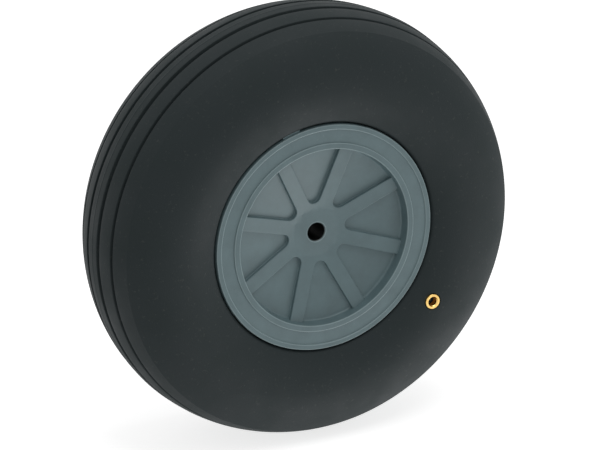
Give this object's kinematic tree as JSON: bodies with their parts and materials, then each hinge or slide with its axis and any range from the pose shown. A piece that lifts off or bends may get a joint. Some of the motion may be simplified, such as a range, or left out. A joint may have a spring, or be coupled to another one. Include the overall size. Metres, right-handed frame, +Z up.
{
  "type": "inflatable model aircraft wheel",
  "caption": "Inflatable wheel for a large model aircraft: ribbed rubber tyre on a two-piece moulded spoked hub, with a sprung-ball filling valve in the sidewall.",
  "frame": {"origin": "centre of the wheel, on its spin axis at the middle plane where the hub halves meet", "axes": "+Y along the spin axis towards the back of the wheel, so the face with the valve looks along -Y; +Z up"},
  "size_m": [0.1528, 0.0503, 0.1528],
  "materials": {
    "tyre_rubber": "satin",
    "hub_nylon": "satin",
    "valve_brass": "polished",
    "seal_rubber": "matte",
    "bright_steel": "satin",
    "screw_steel": "satin"
  },
  "bodies": {
    "wheel": {"tyre": "tyre_rubber", "hub_front": "hub_nylon", "hub_rear": "hub_nylon", "hub_screw_1": "screw_steel", "hub_screw_2": "screw_steel", "hub_screw_3": "screw_steel", "hub_screw_4": "screw_steel", "valve_body": "valve_brass", "valve_seal": "seal_rubber", "valve_spring": "bright_steel", "valve_retainer": "valve_brass"},
    "ball": {"valve_ball": "bright_steel"}
  },
  "joints": [
    {"name": "valve_ball_lift", "type": "slide", "parent": "wheel", "child": "ball", "axis": [0, 1, 0], "range_m": [0, 0.0008], "stiffness_N_per_m": 60, "springref_m": -0.001, "deforming": ["valve_spring"]}
  ]
}
